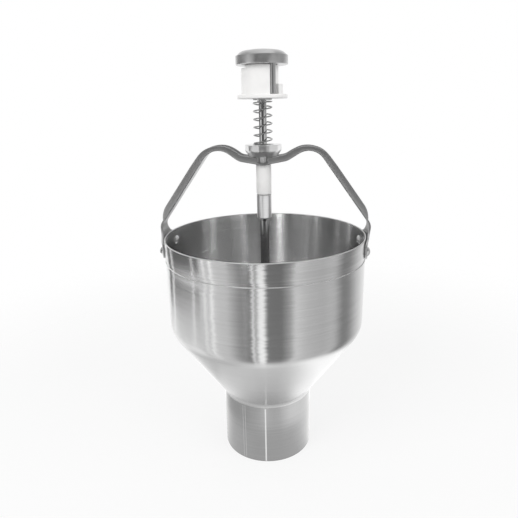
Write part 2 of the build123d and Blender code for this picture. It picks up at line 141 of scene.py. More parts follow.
rivet_shank = 2.5 * MM
rivet_head = 5 * MM
rivet_crown = 2.8 * MM

# Collar and spring
collar_base = hub_height + 8.4 * MM
collar_top = high("hub_collar").z
collar_radius = high("hub_collar").x
spring_foot = collar_top - 3 * MM
spring_length = 43 * MM
spring_wire = 1.3 * MM
spring_coil_radius = high("return_spring").x - spring_wire / 2
spring_turns = 6.85
spring_start = pi
spring_end_turns = 0.75
spring_end_pitch = spring_wire + 0.6 * MM
spring_rows_per_turn = 64
spring_ease = 0.06
spring_gap = 0.1 * MM
wire_sides = 14

# Tubes, rod and nuts
sleeve_base, sleeve_top, sleeve_radius = extent("coupling_sleeve")
sleeve_chamfer = 1.2 * MM
upper_bore = 2.6 * MM
upper_hole = 3.73 * MM
lower_bore = 3.2 * MM
lower_hole = 4.43 * MM
rod_hole = 2.23 * MM
large_nut = 13 * MM
small_nut = 8 * MM
nut_bevel = 0.3 * MM
nut_chamfer = 0.15 * MM
nut_columns = 96

# Dial
dial_base, wall_top, dial_radius = extent("size_dial")
dial_flange = 3.4 * MM
tread_base = dial_base + dial_flange
stair_radius = 19.1 * MM
stair_inner = 11.6 * MM
core_radius = 15 * MM
core_top = wall_top - 0.4 * MM
pocket_radius = 9.5 * MM
pocket_floor = core_top - 9.8 * MM
dial_edge = 0.7 * MM
stair_edge = 0.45 * MM
stair_edge_share = 0.45
stair_least = 0.01 * MM
dial_columns = 180
front_angle = radians(-90)
stair_start = radians(55.04)
wall_start = radians(315)
wall_end = radians(385.96)
tread_rises = (9 * MM, 16 * MM, 23 * MM)
tread_width = (wall_start - stair_start) / len(tread_rises)

# Cap
cap_base, cap_top, cap_radius = extent("palm_cap")
cap_shoulder = cap_base + 8 * MM
cap_dome_radius = 22.8 * MM
cap_crown_reach = 17 * MM
cap_crown_drop = 1.5 * MM
cap_edge = 0.9 * MM

# Camera, as the photograph was taken
camera_azimuth = radians(5)
camera_distance = 472.73 * MM
camera_side = -6.38 * MM
camera_height = 356.64 * MM
camera_pitch = radians(17.23)
camera_roll = radians(-1.238)
camera_lens = 33.62


def arc(centre, radius, start, end, steps):
    """Points on an arc between two angles in degrees."""
    angles = [radians(start + (end - start) * k / steps) for k in range(steps + 1)]
    return [Vector((centre[0] + radius * cos(a), centre[1] + radius * sin(a))) for a in angles]


def swept(middle, first, last, steps):
    """Points of the arc about a middle from one arm to another."""
    turn = first.angle(last)
    shares = [k / steps for k in range(steps + 1)]
    return [middle + (first * sin(turn * (1 - s)) + last * sin(turn * s)) / sin(turn) for s in shares]


def fillet(before, corner, after, rounding, steps):
    """Points of the arc that rounds a corner between its two neighbours."""
    one = (before - corner).normalized()
    two = (after - corner).normalized()
    half = one.angle(two) / 2
    middle = corner + (one + two).normalized() * (rounding / sin(half))
    start = corner + one * (rounding / tan(half)) - middle
    end = corner + two * (rounding / tan(half)) - middle
    return swept(middle, start, end, steps)


def rounded(corners, closed=True, steps=6):
    """An outline through corners, each given as across, height and its rounding."""
    points = []
    for k, (across, height, rounding) in enumerate(corners):
        corner = Vector((across, height))
        inside = closed or 0 < k < len(corners) - 1
        if rounding and inside:
            before = Vector(corners[k - 1][:2])
            after = Vector(corners[(k + 1) % len(corners)][:2])
            points += fillet(before, corner, after, rounding, steps)
        else:
            points.append(corner)
    return points


def divided(points, step):
    """The same line with points no further apart than a step."""
    line = [points[0]]
    for start, end in zip(points, points[1:]):
        count = max(1, ceil((end - start).length / step))
        line += [start.lerp(end, k / count) for k in range(1, count + 1)]
    return line


def woven(rows, wrap_rows=False, caps=False, brushed=False):
    """A mesh of faces between closed rows of points, with points that fall together made one.

    A brushed mesh also keeps, at each point, how far along and around the rows it lies.
    """
    mesh = bmesh.new()
    brush = mesh.verts.layers.float_vector.new("brush") if brushed else None
    lines = [[mesh.verts.new(point) for point in row] for row in rows]
    following = lines[1:] + lines[:1] if wrap_rows else lines[1:]
    for line, other in zip(lines, following):
        for k in range(len(line)):
            mesh.faces.new((line[k - 1], line[k], other[k], other[k - 1]))
    if caps:
        mesh.faces.new(lines[0])
        mesh.faces.new(lines[-1])
    if brushed:
        along = 0.0
        for line, before in zip(lines, lines[:1] + lines):
            along += (line[0].co - before[0].co).length
            across = 0.0
            for vert, last in zip(line, line[:1] + line):
                across += (vert.co - last.co).length
                vert[brush] = (along, across, 0.0)
    bmesh.ops.remove_doubles(mesh, verts=mesh.verts, dist=1e-7)
    bmesh.ops.recalc_face_normals(mesh, faces=mesh.faces)
    return mesh


def angles_round(count):
    """Even angles about the Z axis."""
    return [2 * pi * k / count for k in range(count)]


def around(outline, angle):
    """An outline of across and height, stood up at an angle about the Z axis."""
    return [Vector((point.x * cos(angle), point.x * sin(angle), point.y)) for point in outline]


def spun(outline, count):
    """A mesh of an outline turned about the Z axis."""
    return woven([around(outline, angle) for angle in angles_round(count)], wrap_rows=True)


def turned(corners, count=96, steps=6):
    """A mesh turned about the Z axis from rounded corners."""
    return spun(rounded(corners, steps=steps), count)


def mesh_object(name, mesh, material):
    """An object from a mesh, in the scene."""
    data = bpy.data.meshes.new(name)
    mesh.to_mesh(data)
    mesh.free()
    data.materials.append(material)
    made = bpy.data.objects.new(name, data)
    bpy.context.scene.collection.objects.link(made)
    return made


def piece(name, mesh, material, body, slot, *nodes):
    """A smooth object with sharp edges, on its body, standing for CAD nodes."""
    made = mesh_object(name, mesh, material)
    made.data.shade_smooth()
    made.data.set_sharp_from_angle(angle=SHARP_EDGE)
    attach(made, body)
    if nodes:
        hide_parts(*nodes)
    return made


def refinish(made, material, chosen):
    """Another material on the faces of a piece that a test of their middle and normal chooses."""
    data = made.data
    data.materials.append(material)
    for face in data.polygons:
        if chosen(face.center, face.normal):
            face.material_index = len(data.materials) - 1


# Materials

relief_depth = 0.1 * MM
glow_depth = 2 * MM
noise_low = 0.3
noise_high = 0.7
patch_cells = (22.0, 22.0, 22.0)
patch_share = 0.4
mottle_cells = (60.0, 60.0, 60.0)
slow_shift = 3.0
sway_shift = 7.0
lean_shift = 11.0


def new_material(name):
    """A material with its node tree and its shader."""
    material = bpy.data.materials.new(name)
    material.use_nodes = True
    tree = material.node_tree
    return material, tree, tree.nodes["Principled BSDF"]


def fill(tree, made, inputs):
    """Each input of a node linked to a socket or set to a value."""
    for key, value in inputs.items():
        if isinstance(value, bpy.types.NodeSocket):
            tree.links.new(value, made.inputs[key])
        else:
            made.inputs[key].default_value = value


def new_node(tree, kind, inputs, **settings):
    """A node with its settings and inputs."""
    made = tree.nodes.new(kind)
    for key, value in settings.items():
        setattr(made, key, value)
    fill(tree, made, inputs)
    return made


def node(tree, kind, inputs, output=0, **settings):
    """One output of a new node."""
    return new_node(tree, kind, inputs, **settings).outputs[output]


def marks_place(tree, marks):
    """Where a point lies among tool marks: in the object, along brush strokes or round a lathe's axis."""
    if marks == "brush":
        return node(tree, "ShaderNodeAttribute", {}, "Vector", attribute_name="brush")
    place = node(tree, "ShaderNodeTexCoord", {}, "Object")
    if marks == "lathe":
        flat = node(tree, "ShaderNodeVectorMath", {0: place, 1: (1.0, 1.0, 0.0)}, operation="MULTIPLY")
        reach = node(tree, "ShaderNodeVectorMath", {0: flat}, "Value", operation="LENGTH")
        height = node(tree, "ShaderNodeSeparateXYZ", {"Vector": place}, "Z")
        place = node(tree, "ShaderNodeCombineXYZ", {"X": reach, "Z": height})
    return place


def grain(tree, stretch, detail=3.0, roughness=0.6, marks="object", shift=0.0):
    """Noise with so many cells a metre along each axis of its marks."""
    moved = {"Vector": marks_place(tree, marks), "Location": (shift, shift, shift), "Scale": stretch}
    mapped = node(tree, "ShaderNodeMapping", moved)
    inputs = {"Vector": mapped, "Scale": 1.0, "Detail": detail, "Roughness": roughness}
    return node(tree, "ShaderNodeTexNoise", inputs, "Fac")


def spread(tree, value, least, most):
    """A noise value brought between two numbers."""
    inputs = {"Value": value, "From Min": noise_low, "From Max": noise_high, "To Min": least, "To Max": most}
    return node(tree, "ShaderNodeMapRange", inputs, "Result")


def grey(level, tint=(1.0, 1.0, 1.0)):
    """A colour of one level with a slight tint."""
    return (level * tint[0], level * tint[1], level * tint[2], 1.0)


def shaded(tree, value, levels, tint=(1.0, 1.0, 1.0)):
    """A colour between two levels of grey."""
    ramp = new_node(tree, "ShaderNodeValToRGB", {"Fac": spread(tree, value, 0.0, 1.0)})
    for stop, level in zip(ramp.color_ramp.elements, levels):
        stop.color = grey(level, tint)
    return ramp.outputs["Color"]


def mixed_value(tree, share, one, other):
    """Two noise values in one."""
    weighed = node(tree, "ShaderNodeMath", {0: other, 1: share}, operation="MULTIPLY")
    return node(tree, "ShaderNodeMath", {0: one, 1: 1.0 - share, 2: weighed}, operation="MULTIPLY_ADD")


def relief(tree, height, bump):
    """The normal over fine tool lines."""
    return node(tree, "ShaderNodeBump", {"Height": height, "Strength": bump, "Distance": relief_depth})


def metal(name, levels, rough, lines, bump, streak=0.0, jag=0.0, tilt=0.0, marks="object"):
    """Steel with fine tool lines, so many a metre along each axis, and slow patches over them.

    Streak draws reflections out across the lines. From line to line, jag sways the reflections
    along the lines and tilt sways them up and down.
    """
    material, tree, shader = new_material(name)
    fine = grain(tree, lines, marks=marks)
    slow = grain(tree, patch_cells, detail=2.0, shift=slow_shift)
    both = mixed_value(tree, patch_share, fine, slow)
    finish = {
        "Base Color": shaded(tree, both, levels),
        "Roughness": spread(tree, both, rough[0], rough[1]),
        "Metallic": 1.0,
        "Anisotropic": streak,
        "Anisotropic Rotation": 0.25 if streak else 0.0,
        "Normal": relief(tree, fine, bump),
    }
    if streak:
        tangent = node(tree, "ShaderNodeTangent", {}, direction_type="RADIAL", axis="Z")
        sway = spread(tree, grain(tree, lines, marks=marks, shift=sway_shift), -jag, jag)
        lean = spread(tree, grain(tree, lines, marks=marks, shift=lean_shift), -tilt, tilt)
        aside = node(tree, "ShaderNodeVectorMath", {0: tangent, "Scale": sway}, operation="SCALE")
        upward = node(tree, "ShaderNodeCombineXYZ", {"Z": lean})
        moved = node(tree, "ShaderNodeVectorMath", {0: finish["Normal"], 1: aside}, operation="ADD")
        moved = node(tree, "ShaderNodeVectorMath", {0: moved, 1: upward}, operation="ADD")
        finish["Normal"] = node(tree, "ShaderNodeVectorMath", {0: moved}, operation="NORMALIZE")
        finish["Tangent"] = tangent
    fill(tree, shader, finish)
    return material


def plastic(name, levels, rough, lines, bump, glow=0.0, tint=(1.0, 1.0, 1.0)):
    """Turned plastic: faint tool lines, slow mottling and a little light inside."""
    material, tree, shader = new_material(name)
    fine = grain(tree, lines)
    slow = grain(tree, mottle_cells, detail=2.0, shift=slow_shift)
    finish = {
        "Base Color": shaded(tree, slow, levels, tint),
        "Roughness": spread(tree, fine, rough[0], rough[1]),
        "Subsurface Weight": glow,
        "Subsurface Radius": (1.0, 1.0, 1.0),
        "Subsurface Scale": glow_depth,
        "Normal": relief(tree, fine, bump),
    }
    fill(tree, shader, finish)
    return material


hopper_steel = metal(
    "hopper_brushed", (0.57, 0.63), (0.16, 0.19), (5.0, 5.0, 900.0), 0.02, streak=1.0, jag=0.014, tilt=0.01
)
band_steel = metal(
    "band_brushed", (0.54, 0.64), (0.15, 0.19), (4.0, 4.0, 700.0), 0.02, streak=1.0, jag=0.016, tilt=0.03
)
inner_steel = metal(
    "inner_brushed", (0.6, 0.68), (0.22, 0.262), (5.0, 5.0, 900.0), 0.02, streak=1.0, jag=0.012, tilt=0.03
)
# Painted shade: the nozzle's steel is kept darker than the hopper's, for the shadowed floor that it reflects
nozzle_steel = metal(
    "nozzle_brushed_painted_shade", (0.36, 0.41), (0.12, 0.15), (10.0, 10.0, 900.0), 0.02, streak=1.0, jag=0.006
)
weld_steel = metal("weld_ground", (0.48, 0.58), (0.28, 0.36), (200.0, 200.0, 900.0), 0.04)
edge_steel = metal("edge_worn", (0.5, 0.62), (0.5, 0.6), (300.0, 300.0, 900.0), 0.04)
arm_steel = metal("arm_satin", (0.52, 0.58), (0.34, 0.4), (8.0, 450.0, 1.0), 0.02, marks="brush")
rivet_steel = metal("rivet_pressed", (0.72, 0.82), (0.14, 0.22), (500.0, 500.0, 500.0), 0.05)
collar_steel = metal("collar_polished", (0.8, 0.88), (0.28, 0.34), (900.0, 1.0, 900.0), 0.03, marks="lathe")
sleeve_steel = metal("sleeve_satin", (0.74, 0.82), (0.4, 0.46), (60.0, 60.0, 1500.0), 0.03)
bright_steel = metal("turned_bright", (0.56, 0.66), (0.08, 0.14), (60.0, 60.0, 2500.0), 0.03)
# Painted shade: the lower tube's steel is kept darker than the upper tube's, so that it reads as shaded
# inside the hopper
tube_steel_painted_shade = metal("tube_drawn_painted_shade", (0.34, 0.42), (0.18, 0.26), (60.0, 60.0, 1200.0), 0.03)
pin_steel = metal("pin_drawn", (0.52, 0.6), (0.28, 0.36), (900.0, 900.0, 60.0), 0.04)
wire_steel = metal("spring_wire", (0.45, 0.56), (0.2, 0.3), (700.0, 700.0, 300.0), 0.05)
nut_steel = metal("nut_plated", (0.52, 0.62), (0.2, 0.32), (500.0, 500.0, 900.0), 0.08)
piston_metal = metal("piston_turned", (0.55, 0.64), (0.28, 0.36), (700.0, 1.0, 900.0), 0.05, marks="lathe")
cap_metal = metal(
    "cap_turned", (0.54, 0.66), (0.34, 0.42), (500.0, 1.0, 900.0), 0.05, streak=0.6, jag=0.03, marks="lathe"
)
nylon_tint = (1.0, 0.995, 0.985)
nylon = plastic(
    "white_nylon", (0.86, 0.92), (0.38, 0.5), (90.0, 90.0, 1500.0), 0.03, glow=0.25, tint=nylon_tint
)
rubber = plastic("seal_rubber", (0.03, 0.05), (0.6, 0.75), (600.0, 600.0, 600.0), 0.2)


# Hopper, nozzle and the weld between them


def unevenness(angle, height):
    """How far the drawn wall stands off its true circle."""
    place = Vector((cos(angle), sin(angle), 0)) * uneven_waves_round
    place.z = height * uneven_waves_up
    return wall_unevenness * noise.noise(place)


def hopper_mesh():
    """The bowl: cone, rounded shoulder, wall and rim band, of sheet steel."""
    cone_way = Vector((hopper_radius - nozzle_radius, shoulder_height - nozzle_height)).normalized()
    lean = cone_way.y
    inner_foot = nozzle_radius - hopper_wall / lean
    inner_wall = hopper_radius - hopper_wall
    inner_shoulder = shoulder_height + hopper_wall * (1 - cone_way.x) / lean
    outside = rounded(
        [
            (nozzle_radius, nozzle_height, 0),
            (hopper_radius, shoulder_height, shoulder_rounding),
            (hopper_radius, band_base - seam_reach, 0),
            (band_radius, band_base - seam_ledge, seam_edge),
            (band_radius - seam_drop, band_base, seam_edge),
            (band_radius, band_base + seam_reach, 0),
            (band_radius, rim_height, rim_rounding),
            (inner_wall, rim_height, rim_rounding),
            (inner_wall, inner_shoulder, shoulder_rounding - hopper_wall),
            (inner_foot, nozzle_height, 0),
        ],
        closed=False,
        steps=10,
    )
    outline = divided(outside, bowl_row)
    rows = []
    for angle in angles_round(bowl_columns):
        bent = [Vector((p.x + unevenness(angle, p.y), p.y)) for p in outline]
        rows.append(around(bent, angle))
    return woven(rows, wrap_rows=True)


def nozzle_mesh():
    """The plain tube under the cone."""
    bore = nozzle_radius - nozzle_wall
    corners = [
        (bore, 0, sheet_edge),
        (nozzle_radius, 0, sheet_edge),
        (nozzle_radius, nozzle_height, 0),
        (bore, nozzle_height, 0),
    ]
    return turned(corners, count=192)


def weld_mesh():
    """The ground weld that rounds the corner between the nozzle and the cone."""
    corner = Vector((nozzle_radius, nozzle_height))
    root = corner - Vector((weld_root, 0))
    mouth, shoulder = Vector((nozzle_radius, 0)), Vector((hopper_radius, shoulder_height))
    steps = 10
    rows = []
    for angle in angles_round(bowl_columns):
        drift = weld_drift * noise.noise(Vector((cos(angle), sin(angle), 0)) * weld_waves_round)
        curve = fillet(mouth, corner, shoulder, weld_rounding + drift, steps)
        bent = [Vector((p.x + unevenness(angle, p.y) * i / steps, p.y)) for i, p in enumerate(curve)]
        rows.append(around(bent + [root], angle))
    return woven(rows, wrap_rows=True)


def faces_inward(middle, normal):
    """Whether a face of the bowl looks at its axis."""
    return normal.xy.dot(middle.xy) < 0


def on_an_edge(middle, normal):
    """Whether a face of the bowl lies on the rim or on the outside of the seam."""
    on_seam = abs(middle.z - seam_middle) < seam_ledge and normal.xy.dot(middle.xy) > 0
    return on_seam or middle.z > rim_height - rim_rounding


hopper = piece("hopper_shell", hopper_mesh(), hopper_steel, "frame", "hopper_steel", "hopper_bowl")
refinish(hopper, band_steel, lambda middle, normal: middle.z > band_base)
refinish(hopper, inner_steel, faces_inward)
refinish(hopper, edge_steel, on_an_edge)
nozzle = piece("nozzle_shell", nozzle_mesh(), nozzle_steel, "frame", "nozzle_steel", "nozzle_tube")
piece("cone_weld", weld_mesh(), weld_steel, "frame", "nozzle_steel")


# Handle arms


def channel(half, height):
    """Half a strip's section, from under its middle round the flange to the top of its web."""
    full = min(1.0, (height - strip_wall) / flange_full_rise)
    outer = strip_edge + (strip_outer_bend - strip_edge) * full
    inner = strip_bend * full
    edge = strip_edge
    across = [k / 6 for k in range(6)]
    under = [Vector((share * (half - outer), 0)) for share in across]
    bend = arc((half - outer, outer), outer, -90, 0, 5)
    tip = arc((half - edge, height - edge), edge, 0, 90, 3)
    back = arc((half - strip_wall + edge, height - edge), edge, 90, 180, 3)
    trough = arc((half - strip_wall - inner, strip_wall + inner), inner, 0, -90, 4)
    inside = [Vector((p.x, min(max(p.y, strip_wall), height))) for p in back + trough]
    over = [Vector((share * (half - strip_wall - inner), strip_wall)) for share in reversed(across)]
    return under + [Vector((p.x, min(p.y, height))) for p in bend] + tip + inside + over


def flange_height(place, hump):
    """How high the flange stands above the web's under face at a point of the arm's line."""
    if place.x < flange_start:
        return strip_wall
    if place.x < hump[0]:
        share, ends = place.x / hump[0], (flange_height_hub, flange_height_slope)
    else:
        share = min(1.0, (place.x - hump[0]) / (knee[0] - hump[0]) / leg_rise_share)
        ends = (flange_height_slope, flange_height_leg)
    near = min(1.0, (Vector(hump[:2]) - place).length / flange_hump_reach)
    full = ends[0] + (ends[1] - ends[0]) * share - flange_hump_drop * (1 - near**2) ** 2
    rise = full - strip_wall
    opening = min(1.0, (place.x - flange_start) / flange_start_rounding)
    height = strip_wall + rise * sqrt(1 - (1 - opening) ** 2)
    to_knee = (Vector(knee[:2]) - place).length
    if place.x > hump[0] and (to_knee < fade_end or place.y < knee[1]):
        return strip_wall
    if place.x > hump[0] and to_knee < fade_start:
        length = fade_start - fade_end
        radius = (length**2 + rise**2) / (2 * rise)
        height -= radius - sqrt(radius**2 - (fade_start - to_knee) ** 2)
    return max(height, strip_wall)


def arm_rows(hump):
    """Stations along an arm: a point of its line, the way up from it and the half width there."""
    corners = [(arm_parting, hub_height, 0), dip, hump, knee, foot_bend, (foot_radius, foot_base, 0)]
    line = divided(rounded(corners, closed=False, steps=12), strip_row)
    stations = []
    for k, place in enumerate(line):
        way = (line[min(k + 1, len(line) - 1)] - line[max(k - 1, 0)]).normalized()
        stations.append((place, Vector((-way.y, way.x))))
    outline = rounded(
        [
            (strip_half_width, foot_top, 0),
            (strip_half_width, foot_neck, foot_neck_rounding),
            (foot_half_width, foot_wing, foot_corner_rounding),
            (foot_half_width, foot_base, foot_corner_rounding),
            (0, foot_base, 0),
        ],
        closed=False,
        steps=14,
    )[:-1]
    upper = [(place, up) for place, up in stations if place.x < hump[0] or place.y > foot_top]
    lower = [upper[-1]] + stations[len(upper):]
    rows = [(place, up, strip_half_width) for place, up in upper]
    for half, height in divided(outline, strip_row):
        spans = [(a, b) for a, b in zip(lower, lower[1:]) if b[0].y <= height]
        (above, above_up), (below, below_up) = spans[0] if spans else (lower[-2], lower[-1])
        share = (above.y - height) / (above.y - below.y)
        rows.append((above.lerp(below, share), above_up.lerp(below_up, share).normalized(), half))
    return rows


def arm_mesh(side, hump):
    """A pressed strip whose flanges fade out above a foot that follows the hopper's wall."""
    rows = []
    for place, up, half in arm_rows(hump):
        section = channel(half, flange_height(place, hump))
        whole = section + [Vector((-p.x, p.y)) for p in reversed(section)]
        curl = min(1.0, max(0.0, (foot_curl_start - place.y) / (foot_curl_start - foot_curl_end)))
        curl = curl * curl * (3 - 2 * curl) if place.x > hump[0] else 0.0
        row = []
        for point in whole:
            reach = place.x + up.x * point.y
            height = place.y + up.y * point.y
            angle = asin(point.x / foot_radius)
            flat = Vector((reach, point.x, height))
            bent = Vector((reach * cos(angle), reach * sin(angle), height))
            spot = flat.lerp(bent, curl)
            row.append(Vector((side * spot.x, spot.y, spot.z)))
        rows.append(row)
    return woven(rows, caps=True, brushed=True)


def rivet_group(angles):
    """Rivets through a foot and the wall, with domed heads inside and outside."""
    outer_seat = foot_radius + strip_wall
    inner_seat = sqrt((hopper_radius - hopper_wall) ** 2 - rivet_head**2)
    sphere = (rivet_head**2 + rivet_crown**2) / (2 * rivet_crown)
    dome = [Vector((rivet_head * k / 8, 0)) for k in range(9)]
    drops = [sphere - sqrt(sphere**2 - p.x**2) for p in dome]
    outside = [Vector((p.x, outer_seat + rivet_crown - d)) for p, d in zip(dome, drops)]
    inside = [Vector((p.x, inner_seat - rivet_crown + d)) for p, d in zip(dome, drops)]
    shank = [Vector((rivet_shank, outer_seat)), Vector((rivet_shank, inner_seat))]
    outline = outside + shank + inside[::-1]
    group = bmesh.new()
    for angle in angles:
        single = spun(outline, 40)
        lay = Matrix.Translation((0, 0, rivet_height)) @ Matrix.Rotation(angle, 4, "Z")
        bmesh.ops.transform(single, matrix=lay @ Matrix.Rotation(pi / 2, 4, "Y"), verts=single.verts)
        part = bpy.data.meshes.new("rivet")
        single.to_mesh(part)
        single.free()
        group.from_mesh(part)
        bpy.data.meshes.remove(part)
    return group


arms = []
for name, side, turn, hump in (("right", 1, 0.0, right_hump), ("left", -1, pi, left_hump)):
    strip = arm_mesh(side, hump)
    arms.append(piece(f"arm_strip_{name}", strip, arm_steel, "frame", "handle_steel", f"handle_arm_{name}"))
    pair = rivet_group((turn - rivet_half_angle, turn + rivet_half_angle))
    piece(f"rivet_pair_{name}", pair, rivet_steel, "frame", "rivet_steel", f"foot_rivets_{name}")


# Hub: collar, guide bush and return spring


def collar_mesh():
    """The spring cup with its spigot."""
    foot, taper, recess = 13.5 * MM, 5.5 * MM, 10.4 * MM
    spigot, hole = 7.5 * MM, 5.63 * MM
    corners = [
        (hole, hub_height, 0),
        (spigot, hub_height, 0.3 * MM),
        (spigot, collar_base, 0.3 * MM),
        (foot, collar_base, 0.5 * MM),
        (collar_radius, collar_base + taper, 1.2 * MM),
        (collar_radius, collar_top, 0.6 * MM),
        (recess, collar_top, 0.6 * MM),
        (recess, spring_foot, 0.3 * MM),
        (hole, spring_foot, 0),
    ]
    return turned(corners, count=128)


def bush_mesh():
    """The nylon bush that guides the plunger, with its stem up in the collar."""
    base, top, radius = extent("guide_bush")
    shoulder, stem, bore = hub_height - 0.03 * MM, 5.6 * MM, 3.76 * MM
    corners = [
        (bore, base, 0.3 * MM),
        (radius, base, 0.6 * MM),
        (radius, shoulder, 0.3 * MM),
        (stem, shoulder, 0),
        (stem, top, 0),
        (bore, top, 0),
    ]
    return turned(corners, count=96)


def coil_height(turn):
    """Height of the wire's middle above the first turn, closer wound at both ends."""
    rise = spring_length - spring_wire - 2 * spring_gap
    end_rise = spring_end_pitch * spring_end_turns
    open_turns = spring_turns - 2 * spring_end_turns
    open_pitch = (rise - 2 * end_rise) / open_turns
    lower = min(turn, spring_end_turns) * spring_end_pitch
    middle = min(max(turn - spring_end_turns, 0), open_turns) * open_pitch
    upper = max(turn - spring_end_turns - open_turns, 0) * spring_end_pitch
    return lower + middle + upper


def spring_mesh():
    """One round wire wound as an open helix."""
    base = spring_foot + spring_gap + spring_wire / 2
    count = ceil(spring_turns * spring_rows_per_turn)
    rows = []
    for k in range(count + 1):
        turn = spring_turns * k / count
        before, after = max(turn - spring_ease, 0), min(turn + spring_ease, spring_turns)
        height = (coil_height(before) + coil_height(turn) * 2 + coil_height(after)) / 4
        angle = spring_start + 2 * pi * turn
        out = Vector((cos(angle), sin(angle), 0))
        climb = (coil_height(after) - coil_height(before)) / (2 * pi * (after - before))
        level = Vector((-sin(angle), cos(angle), 0)) * spring_coil_radius
        way = (level + Vector((0, 0, climb))).normalized()
        up = out.cross(way)
        middle = out * spring_coil_radius + Vector((0, 0, base + height))
        sides = [out * cos(a) + up * sin(a) for a in angles_round(wire_sides)]
        rows.append([middle + side * (spring_wire / 2) for side in sides])
    return woven(rows, caps=True)


collar = piece("collar_cup", collar_mesh(), collar_steel, "frame", "polished_steel", "hub_collar")
piece("bush_nylon", bush_mesh(), nylon, "frame", "white_nylon", "guide_bush")
spring = piece("spring_wire", spring_mesh(), wire_steel, "frame", "spring_steel", "return_spring")
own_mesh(spring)


# Plunger


def ring_piece(name, node_name, bore, edge, material, slot="polished_steel", count=64):
    """A tube of a CAD node's own size, with rounded edges, on the plunger."""
    base, top, radius = extent(node_name)
    corners = [(bore, base, edge), (radius, base, edge), (radius, top, edge), (bore, top, edge)]
    return piece(name, turned(corners, count, steps=3), material, "plunger", slot, node_name)


def sleeve_mesh():
    """The coupling sleeve, with a long chamfer at its foot."""
    corners = [
        (lower_hole, sleeve_base, 0.2 * MM),
        (sleeve_radius - sleeve_chamfer, sleeve_base, 0.2 * MM),
        (sleeve_radius, sleeve_base + sleeve_chamfer, 0.3 * MM),
        (sleeve_radius, sleeve_top, 0.5 * MM),
        (upper_hole, sleeve_top, 0),
    ]
    return turned(corners)


def hexagon(angle, flat):
    """How far a nut stands out at an angle, and how far its chamfer comes down there."""
    corner = flat / cos((angle % (pi / 3)) - pi / 6)
    return corner, (corner - flat) * tan(radians(30)) + nut_chamfer


def nut_mesh(name, size, hole):
    """A chamfered hexagon nut of a CAD node's own height."""
    base, top, flat = low(name).z, high(name).z, size / 2
    land = flat - 0.2 * MM
    rows = []
    for angle in angles_round(nut_columns):
        corner, drop = hexagon(angle, flat)
        outline = [
            (hole + nut_bevel, base),
            (land, base),
            (corner, base + drop),
            (corner, top - drop),
            (land, top),
            (hole + nut_bevel, top),
            (hole, top - nut_bevel),
            (hole, base + nut_bevel),
        ]
        rows.append(around([Vector(p) for p in outline], angle))
    return woven(rows, wrap_rows=True)


def stair_height(azimuth):
    """Height of the dial's stair at an azimuth from the front, with each step's edge rounded."""
    steps = [
        (stair_start + k * tread_width, stair_start + (k + 1) * tread_width, tread_base + rise, False)
        for k, rise in enumerate(tread_rises)
    ]
    steps.append((wall_start, wall_end, wall_top, True))
    for start, end, height, falls in steps:
        turn = (azimuth - start) % (2 * pi)
        if turn < end - start:
            room = turn * stair_radius
            if falls:
                room = min(room, (end - start - turn) * stair_radius)
            gone = max(0.0, stair_edge - room)
            return height - stair_edge + sqrt(stair_edge**2 - gone**2)
    return tread_base + stair_least


def dial_angles():
    """Azimuths for the dial's outlines: even ones, and close ones on both sides of each riser."""
    risers = [stair_start + k * tread_width for k in range(len(tread_rises))] + [wall_start]
    tiny = 1e-5
    marks = angles_round(dial_columns)
    for share in (0.0, 0.1, 0.3, 0.6, 1.0):
        turn = share * stair_edge / stair_radius
        marks += [riser + turn + tiny for riser in risers]
        marks.append(wall_end - turn - tiny)
    marks += [riser - tiny for riser in risers] + [wall_end + tiny]
    return sorted(mark % (2 * pi) for mark in marks)


def dial_mesh():
    """The nylon dial: a flange, a core with a pocket and a stair of three treads up to a wall."""
    rows = []
    for azimuth in dial_angles():
        top = stair_height(azimuth)
        edge = min(stair_edge, (top - tread_base) * stair_edge_share)
        inner = stair_inner if top > core_top else core_radius
        corners = [
            (upper_hole, dial_base, 0),
            (dial_radius, dial_base, dial_edge),
            (dial_radius, tread_base, dial_edge),
            (stair_radius, tread_base, edge),
            (stair_radius, top, edge),
            (inner, top, 0),
            (inner, core_top, 0),
            (pocket_radius, core_top, stair_edge),
            (pocket_radius, pocket_floor, 0),
            (upper_hole, pocket_floor, 0),
        ]
        rows.append(around(rounded(corners, steps=4), azimuth + front_angle))
    return woven(rows, wrap_rows=True)


def piston_mesh():
    """The piston plate with its hub and the seal's groove."""
    base, top, radius = extent("piston")
    plate, hub = base + 6 * MM, 9 * MM
    groove, groove_base = radius - 2 * MM, base + 1.6 * MM
    groove_top = groove_base + 2.8 * MM
    corners = [
        (lower_hole, base, 0),
        (radius, base, 0.4 * MM),
        (radius, groove_base, 0.1 * MM),
        (groove, groove_base, 0),
        (groove, groove_top, 0),
        (radius, groove_top, 0.1 * MM),
        (radius, plate, 0.6 * MM),
        (hub, plate, 1.5 * MM),
        (hub, top, 0.6 * MM),
        (lower_hole, top, 0),
    ]
    return turned(corners, count=160)


